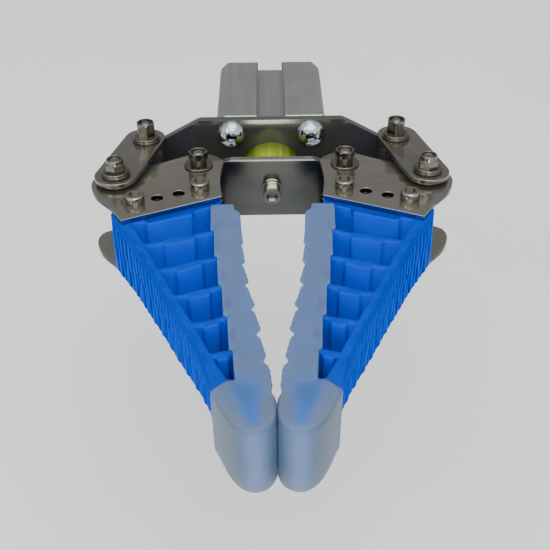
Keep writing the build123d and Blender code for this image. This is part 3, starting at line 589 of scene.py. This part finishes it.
def turned_y(name, profile, n=144):
    """A ring turned about the Y axis from its closed profile of (radius, y) points."""
    verts = [(r * math.cos(2 * math.pi * k / n) * MM, y * MM, r * math.sin(2 * math.pi * k / n) * MM)
             for k in range(n) for r, y in profile]
    m = len(profile)
    faces = [(k * m + i, k * m + (i + 1) % m, (k + 1) % n * m + (i + 1) % m, (k + 1) % n * m + i)
             for k in range(n) for i in range(m)]
    me = bpy.data.meshes.new(name)
    me.from_pydata(verts, [], faces)
    bm = bmesh.new()
    bm.from_mesh(me)
    bmesh.ops.recalc_face_normals(bm, faces=bm.faces)
    bm.to_mesh(me)
    bm.free()
    me.shade_smooth()
    me.set_sharp_from_angle(angle=math.radians(35))
    return me


me = turned_y("smooth_rod_bumper", [(6.4, -71.0), (13.9, -71.0), (14.2, -71.3), (14.2, -85.5)]
              + [(13.0 + 1.2 * math.cos(a * math.pi / 12), -85.5 - 1.2 * math.sin(a * math.pi / 12)) for a in range(1, 7)]
              + [(6.4, -86.7)])
link_object(me.name, me, "base", "rod_bumper", "yellow")


def strips(name, boxes):
    me = bpy.data.meshes.new(name)
    bm = bmesh.new()
    for (x0, y0, z0), (x1, y1, z1) in boxes:
        made = bmesh.ops.create_cube(bm, size=1.0)
        for v in made["verts"]:
            v.co = Vector(((x0 + x1) / 2 + v.co.x * (x1 - x0), (y0 + y1) / 2 + v.co.y * (y1 - y0),
                           (z0 + z1) / 2 + v.co.z * (z1 - z0))) * MM
    bm.to_mesh(me)
    bm.free()
    return me


# the cylinder's front top edge as a painted highlight, and the corners of its groove as painted shade
me = strips("cylinder_edge_line", [((-22.3, -66.95, 25.8), (-7.0, -66.2, 26.06)), ((7.0, -66.95, 25.8), (25.0, -66.2, 26.06))])
link_object(me.name, me, "base", None, "raw_edge")
me = strips("cylinder_groove_lines", [((s0, -66.9, 25.7), (s0 + 0.45, -0.2, 26.03)) for s0 in (-6.9, 6.45)])
link_object(me.name, me, "base", None, "seam")


def soft_copy(name, node, voxel):
    """The node's shape again as an even fine mesh, ready to be worked on."""
    o = bpy.data.objects.new("tmp", NODES[node].data.copy())
    bpy.context.scene.collection.objects.link(o)
    r = o.modifiers.new("even", "REMESH")
    r.mode = "VOXEL"
    r.voxel_size = voxel * MM
    dg = bpy.context.evaluated_depsgraph_get()
    me = bpy.data.meshes.new_from_object(o.evaluated_get(dg))
    old = o.data
    bpy.data.objects.remove(o)
    bpy.data.meshes.remove(old)
    me.name = name
    return me


def get_points(me):
    co = np.empty(len(me.vertices) * 3)
    me.vertices.foreach_get("co", co)
    return co.reshape(-1, 3) / MM


def set_points(me, co):
    me.vertices.foreach_set("co", (co * MM).ravel())
    me.update()


def relax(me, co, steps, weight):
    """Evens the surface out, more where weight is higher, and so rounds its edges."""
    e = np.empty(len(me.edges) * 2, dtype=np.int64)
    me.edges.foreach_get("vertices", e)
    e = e.reshape(-1, 2)
    n = len(co)
    deg = np.maximum(np.bincount(e.ravel(), minlength=n), 1)[:, None]
    w = np.asarray(weight).reshape(-1, 1)
    for _ in range(steps):
        acc = np.stack([np.bincount(e[:, 0], co[e[:, 1], k], n) + np.bincount(e[:, 1], co[e[:, 0], k], n)
                        for k in range(3)], axis=1)
        co = co + w * (acc / deg - co)
    return co


def smooth_step(x, a, b):
    t = np.clip((x - a) / (b - a), 0, 1)
    return t * t * (3 - 2 * t)


OUTER_FACE = [(70.2, -136.5), (64.8, -147.0), (58.4, -159.0), (52.6, -172.0), (47.3, -184.0),
              (38.6, -205.0), (30.6, -224.0), (27.0, -234.0), (24.4, -244.0), (23.0, -254.3)]


def wall_lean(y, z):
    """How far the outer wall leans in below its top edge, in mm: nothing at the base, more towards the tip."""
    return np.interp(-y, [160, 180, 210, 235, 255, 276], [0, 0.4, 1.4, 2.6, 3.4, 3.4]) * np.clip((13.7 - z) / 27.4, 0, 1)


def worked_copy(node, change, body=None):
    """The node's own mesh with some of its points moved by change, with the same weld and rounding."""
    o = NODES[node]
    me = o.data.copy()
    me.name = f"worked_{node}"
    co = get_points(me)
    set_points(me, change(co))
    new = link_object(me.name, me, body or "finger_" + node.rsplit("_", 1)[1], node, NODE_MATS[node])
    for old in o.modifiers:
        mod = new.modifiers.new(old.name, old.type)
        if old.type == "WELD":
            mod.merge_threshold = old.merge_threshold
        else:
            mod.width, mod.segments, mod.limit_method = old.width, old.segments, old.limit_method
            mod.angle_limit, mod.harden_normals = old.angle_limit, old.harden_normals
    return new


for side, word in ((1, "right"), (-1, "left")):
    def lift_sockets(co, side=side):
        top = co[:, 2].max()
        for cx, cy in (SCREW_ROW[0], SCREW_ROW[3]):
            near = np.hypot(co[:, 0] - side * cx, co[:, 1] - cy) < 2.9
            co[near & (np.abs(co[:, 2] - (top - 2.8)) < 0.15), 2] += 1.7
        return co

    def turn_hexagon(co, side=side):
        c, s = math.cos(math.pi / 6), math.sin(math.pi / 6)
        dx, dy = co[:, 0] - side * P1[0], co[:, 1] - P1[1]
        co[:, 0], co[:, 1] = side * P1[0] + c * dx - s * dy, P1[1] + s * dx + c * dy
        return co

    worked_copy(f"finger_screws_{word}", lift_sockets)
    worked_copy(f"inner_pivot_nut_{word}", turn_hexagon)


def widen_domes(co):
    """The dome heads a little wider, their sockets and shanks as they are."""
    for cx in (19.0, -19.0):
        for cz in (19.0, -19.0):
            dx, dz = co[:, 0] - cx, co[:, 2] - cz
            r = np.hypot(dx, dz)
            grow = np.where(r < 9, 0.109 * smooth_step(r, 3.3, 5.6), 0.0)
            co[:, 0] += dx * grow
            co[:, 2] += dz * grow
    return co


worked_copy("bracket_bolts", widen_domes, "base")


# the blue core: moulded, soft-edged, with slightly wavy tops on its ribs
for side, word in ((1, "right"), (-1, "left")):
    me = soft_copy(f"ribbed_core_{word}", f"finger_core_{word}", 0.5)
    co = get_points(me)
    co = relax(me, co, 2, np.full(len(co), 0.45))
    x, y, z = co[:, 0] * side, co[:, 1], co[:, 2]
    outer = np.interp(-y, [-q[1] for q in OUTER_FACE], [q[0] for q in OUTER_FACE])
    co[:, 0] -= side * (wall_lean(y, z) + 0.25 * smooth_step(-y, 240, 252)) * smooth_step(x - outer, -8, -2.6)
    behind = smooth_step(x - outer, -1.6, -0.7) * (1 - smooth_step(z, 12.9, 13.5)) * smooth_step(-y, 137, 139) * (1 - smooth_step(-y, 252.5, 254))
    co[:, 0] -= side * 0.95 * behind
    free = smooth_step(-y, 147, 152) * (1 - smooth_step(-y, 238, 244))
    wave = 0.16 * np.sin(x * 0.62 + y * 0.31 + side) + 0.12 * np.sin(x * 0.23 - y * 0.47)
    co[:, 2] += np.sign(z) * smooth_step(np.abs(z), 9, 13.5) * free * (wave - 0.14)
    co[:, 0] += side * free * 0.10 * np.sin(z * 0.45 + y * 0.2) * smooth_step(13.7 - np.abs(z), 0, 3)
    set_points(me, co)
    me.shade_smooth()
    link_object(me.name, me, f"finger_{word}", f"finger_core_{word}", "blue")

def groove_height(s, z, length, seed):
    """The outer wall's grooved face: two staggered rows of upright strokes, leaning more towards the tip.
    How far the grooved face stands proud of the wall, in mm, at arc length s and height z, then how much of a
    groove and how much of a ridge is there, from 0 to 1."""
    rnd = np.random.RandomState(seed)
    h = np.full(s.shape, 0.40)
    groove, ridge = np.zeros(s.shape), np.zeros(s.shape)
    lean = 0.07 + 0.16 * (s / length) ** 2
    for row, (top, low) in enumerate(((10.0, -2.4), (0.6, -15.0))):
        pitch = 4.3
        for k in range(-3, int(length / pitch) + 3):
            jitter, deep, up, down = rnd.uniform(-0.4, 0.4), rnd.uniform(0.7, 1.0), rnd.uniform(-1.4, 0.4), rnd.uniform(-1.2, 1.2)
            part = min(max(k * pitch / length, 0.0), 1.0)
            deep *= 1.0 - 0.35 * part
            mid = (k + (0.08 + 0.42 * part) * row) * pitch + jitter + lean * (10 - z) + 0.18 * np.sin(z * 0.55 + k)
            on = smooth_step(top + up - z, 0, 1.8) * smooth_step(z - low - down, 0, 1.8)
            d = s - mid
            cut, lip = deep * on * np.exp(-(d / 0.72) ** 2), deep * on * np.exp(-((d - 1.9) / 0.75) ** 2)
            h = h - 1.05 * cut + 0.20 * lip
            groove, ridge = np.maximum(groove, cut), np.maximum(ridge, lip)
    h = h + 0.16 * np.sin(2 * np.pi * s / 9.4 + 0.35 * z) * smooth_step(6 - z, 0, 16)
    h = 0.12 + (h - 0.12) * smooth_step(10.6 - z, 0, 1.0)
    rim = smooth_step(13.5 - z, 0, 0.5) * smooth_step(z + 13.6, 0, 0.5)
    ends = smooth_step(s, 1.0, 2.0) * smooth_step(length - s, 1.0, 2.0)
    h = (np.maximum(h, -0.75) * rim + 0.05 * (1 - rim)) * ends - 0.20 * (1 - ends)
    strength = 1.0 + 0.6 * (1 - smooth_step(s, 0.15 * length, 0.7 * length))
    return h, np.minimum(groove * strength, 1.0) * rim * ends, ridge * rim * ends


for side, word in ((1, "right"), (-1, "left")):
    xy, out, arc = spline_through(OUTER_FACE, 0.2)
    zs = np.linspace(13.5, -13.65, 55)
    S, Z = np.meshgrid(arc, zs, indexing="ij")
    H, G, R = groove_height(S, Z, arc[-1], 11 + side)
    H = H - 0.35 * smooth_step(S, arc[-1] - 16, arc[-1] - 4)
    lean = wall_lean(np.broadcast_to(xy[:, 1][:, None], Z.shape), Z)
    X = xy[:, 0][:, None] + out[:, 0][:, None] * H - lean
    Y = xy[:, 1][:, None] + out[:, 1][:, None] * H
    na, nb = S.shape
    front = np.stack([side * X, Y, Z], axis=-1).reshape(-1, 3)
    back = np.stack([side * (xy[:, 0][:, None] - out[:, 0][:, None] * 1.3 - lean),
                     xy[:, 1][:, None] - out[:, 1][:, None] * 1.3 + 0 * Z, Z], axis=-1)
    rim = [(i, 0) for i in range(na)] + [(na - 1, j) for j in range(1, nb)] \
        + [(i, nb - 1) for i in range(na - 2, -1, -1)] + [(0, j) for j in range(nb - 2, 0, -1)]
    verts = [tuple(v) for v in front * MM] + [tuple(back[i, j] * MM) for i, j in rim]
    faces = [(i * nb + j, i * nb + j + 1, (i + 1) * nb + j + 1, (i + 1) * nb + j)
             for i in range(na - 1) for j in range(nb - 1)]
    base = na * nb
    m = len(rim)
    for k in range(m):
        (i0, j0), (i1, j1) = rim[k], rim[(k + 1) % m]
        faces.append((i0 * nb + j0, i1 * nb + j1, base + (k + 1) % m, base + k))
    # the hidden back, as strips across the wall's height
    at = {q: base + k for k, q in enumerate(rim)}
    for i in range(na - 1):
        if i == 0:
            faces.append(tuple([at[(0, j)] for j in range(nb)] + [at[(1, nb - 1)], at[(1, 0)]]))
        elif i == na - 2:
            faces.append(tuple([at[(na - 1, j)] for j in range(nb - 1, -1, -1)] + [at[(na - 2, 0)], at[(na - 2, nb - 1)]]))
        else:
            faces.append((at[(i, 0)], at[(i, nb - 1)], at[(i + 1, nb - 1)], at[(i + 1, 0)]))
    me = bpy.data.meshes.new(f"grooved_wall_{word}")
    me.from_pydata(verts, [], faces)
    for layer, value in (("groove", G), ("ridge", R)):
        stored = me.attributes.new(layer, "FLOAT", "POINT")
        stored.data.foreach_set("value", np.concatenate([value.ravel(), np.zeros(m)]))
    bm = bmesh.new()
    bm.from_mesh(me)
    bmesh.ops.recalc_face_normals(bm, faces=bm.faces)
    bm.to_mesh(me)
    bm.free()
    me.shade_smooth()
    me.set_sharp_from_angle(angle=math.radians(50))
    link_object(me.name, me, f"finger_{word}", None, "wall")

# the silicone skin: rounded edges, and a well rounded cap at the tip
for side, word in ((1, "right"), (-1, "left")):
    me = soft_copy(f"silicone_skin_{word}", f"finger_skin_{word}", 0.6)
    co = get_points(me)
    cap = smooth_step(-co[:, 1], 244, 252)
    x, y, z = co[:, 0] * side, co[:, 1], co[:, 2]
    # between its notched top and bottom lips the grip face lies deeper
    line = np.interp(-y, [130, 151, 162, 190, 221, 252, 262], [16.6, 13.4, 12.3, 9.8, 5.7, 2.1, 0.8])
    deep = smooth_step(-y, 150, 160) * (1 - smooth_step(-y, 253, 259)) * (1 - smooth_step(np.abs(z), 11.9, 13.3))
    co[:, 0] += side * 2.1 * deep * (1 - smooth_step(x - line, 2.4, 6.0))
    # towards the tip the grip face comes further in
    nearer = np.interp(-y, [200, 209, 236, 243, 256, 264], [0, 0.6, 0.6, 1.6, 1.9, 0.6])
    co[:, 0] -= side * nearer * (1 - smooth_step(x - line, 3, 9))
    # the cap's outer side leans in a little, and its foot reaches a little further down
    outer = np.interp(-y, [244, 255, 263.2, 270.6, 276], [24.4, 22.9, 19.4, 15.6, 12.0])
    low = np.clip((13.7 - z) / 27.4, 0, 1)
    co[:, 0] -= side * 0.6 * cap * low * smooth_step(x - outer, -9, -1)
    co = relax(me, co, 2, np.full(len(co), 0.5))
    co = relax(me, co, 20, 0.6 * cap)
    foot = smooth_step(-co[:, 1], 258, 270)
    co[:, 2] -= 0.9 * foot * smooth_step(-co[:, 2], 2, 12)
    # the two pads just meet at the tip
    x, y, z = co[:, 0] * side, co[:, 1], co[:, 2]
    for _ in range(2):
        x = co[:, 0] * side
        rows = np.clip(((-y - 250) / 1.0).astype(int), 0, 30)
        least = np.full(31, 9.0)
        np.minimum.at(least, rows[np.abs(z) < 11], x[np.abs(z) < 11])
        least = np.convolve(np.pad(least, 2, "edge"), np.full(5, 0.2), "valid")
        here = np.interp(-y - 250.5, np.arange(31), least)
        want = np.interp(-y, [257.5, 262.5, 268, 271], [0, 1, 1, 0]) * np.maximum(here - 0.05, 0)
        co[:, 0] -= side * want * (1 - smooth_step(x - here, 0.6, 5.5)) * (1 - smooth_step(np.abs(z), 10, 13))
    co[:, 0] = side * np.maximum(co[:, 0] * side, 0.02)
    set_points(me, co)
    me.shade_smooth()
    link_object(me.name, me, f"finger_{word}", f"finger_skin_{word}", "silicone")

# ----------------------------------------------------------------- the camera
cam_data = bpy.data.cameras.new("camera")
cam = bpy.data.objects.new("camera", cam_data)
bpy.context.scene.collection.objects.link(cam)
cam_data.sensor_width = 36.0
cam_data.lens = 1034.92 / 550 * 36.0
th, roll, yaw = 0.593848, -0.0103737, 0.007082
fw = Vector((math.sin(yaw) * math.cos(th), math.cos(yaw) * math.cos(th), -math.sin(th)))
rt = Vector((math.cos(yaw), -math.sin(yaw), 0))
up = rt.cross(fw)
r2 = rt * math.cos(roll) + up * math.sin(roll)
u2 = up * math.cos(roll) - rt * math.sin(roll)
m = Matrix((r2, u2, -fw)).transposed().to_4x4()
m.translation = Vector((-2.0326, -522.909, 241.495)) * MM
cam.matrix_world = m
cam_data.clip_start, cam_data.clip_end = 0.01, 50
bpy.context.scene.camera = cam

# ------------------------------------------------------------ floor and light
FLOOR_Z = -0.16
me = bpy.data.meshes.new("floor")
bm = bmesh.new()
bmesh.ops.create_grid(bm, x_segments=2, y_segments=2, size=6.0)
bm.to_mesh(me)
bm.free()
floor = bpy.data.objects.new("floor", me)
floor.location = (0, 0, FLOOR_Z)
bpy.context.scene.collection.objects.link(floor)
fm, nt, bsdf, out = new_material("pale_floor")
f = noise(nt, coords(nt), 9, 2.0)
nt.links.new(ramp(nt, f, [(0.3, (0.86, 0.86, 0.86)), (0.7, (0.88, 0.88, 0.88))]), bsdf.inputs["Base Color"])
bsdf.inputs["Roughness"].default_value = 0.9
me.materials.append(fm)

world = bpy.data.worlds.new("world")
bpy.context.scene.world = world
world.use_nodes = True
wt = world.node_tree
tc = wt.nodes.new("ShaderNodeTexCoord")
split = wt.nodes.new("ShaderNodeSeparateXYZ")
wt.links.new(tc.outputs["Generated"], split.inputs[0])
depth = span(wt, split.outputs["Y"], 0.0, 1.0, -1.0, 1.0)
tone = ramp(wt, depth, [(0.0, (1.0, 1.0, 1.0)), (0.35, (0.78, 0.80, 0.83)), (0.6, (0.40, 0.41, 0.43)),
                        (0.82, (0.24, 0.24, 0.25)), (1.0, (0.24, 0.24, 0.25))])
wt.links.new(tone, wt.nodes["Background"].inputs[0])
wt.nodes["Background"].inputs[1].default_value = 1.9


def area(name, loc, target, size, power, color=(1, 1, 1), spread=180):
    d = bpy.data.lights.new(name, "AREA")
    d.shape = "RECTANGLE"
    d.size, d.size_y = size
    d.energy = power
    d.color = color
    d.spread = math.radians(spread)
    o = bpy.data.objects.new(name, d)
    bpy.context.scene.collection.objects.link(o)
    o.location = loc
    o.rotation_mode = "QUATERNION"
    o.rotation_quaternion = (Vector(target) - Vector(loc)).to_track_quat("-Z", "Y")
    o.visible_camera = False
    return o


area("overhead", (0.0, 0.0, 1.3), (0, -0.1, 0), (1.1, 0.9), 3)
area("front_high", (0.1, -0.95, 1.05), (0, -0.17, 0), (0.9, 0.9), 8)
area("floor_card", (0.0, -0.460, -0.154), (0, -0.460, 1.0), (0.30, 0.05), 0.80, (1.0, 0.93, 0.74))
area("front_card", (0.0, -0.75, -0.035), (0, -0.1, 0.02), (0.09, 0.2), 0.066, (1.0, 0.93, 0.74), 60)
area("front_left", (-0.9, -1.1, 0.8), (0, -0.13, 0), (0.6, 0.6), 5)
